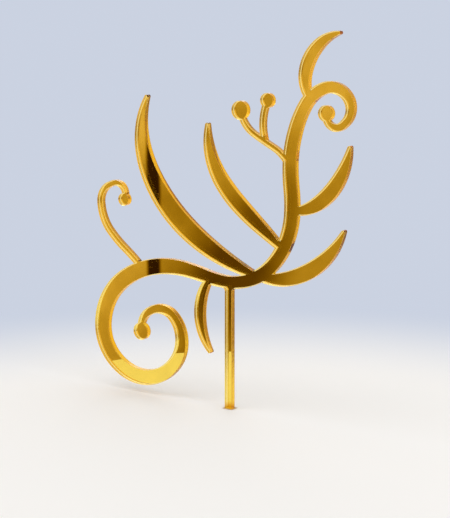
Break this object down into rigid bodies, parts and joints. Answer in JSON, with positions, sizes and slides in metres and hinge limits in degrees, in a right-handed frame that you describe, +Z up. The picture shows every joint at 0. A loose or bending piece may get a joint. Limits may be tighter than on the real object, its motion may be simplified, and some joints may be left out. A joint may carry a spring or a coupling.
{
  "type": "cake topper",
  "caption": "Flat cake topper laser-cut from gold mirror acrylic: a scrolling vine with leaves, berries and curls on an integral pointed stick that pushes into a cake.",
  "frame": {"origin": "on the stick's axis, in the middle of the sheet's thickness, at the level of the surface that the stick is pushed into", "axes": "+Z up along the stick, +Y out of the back of the sheet so that the mirror faces -Y, +X to the right seen from the front"},
  "size_m": [0.1207, 0.0026, 0.1927],
  "materials": {
    "gold_acrylic": "clear gold-tinted acrylic, polished faces and laser-cut edges",
    "mirror_film": "bright metal film seen through the acrylic",
    "grey_lacquer": "satin grey protective lacquer"
  },
  "bodies": {
    "root": {"acrylic_sheet": "gold_acrylic", "mirror_coat": "mirror_film", "backing_coat": "grey_lacquer"}
  },
  "joints": []
}
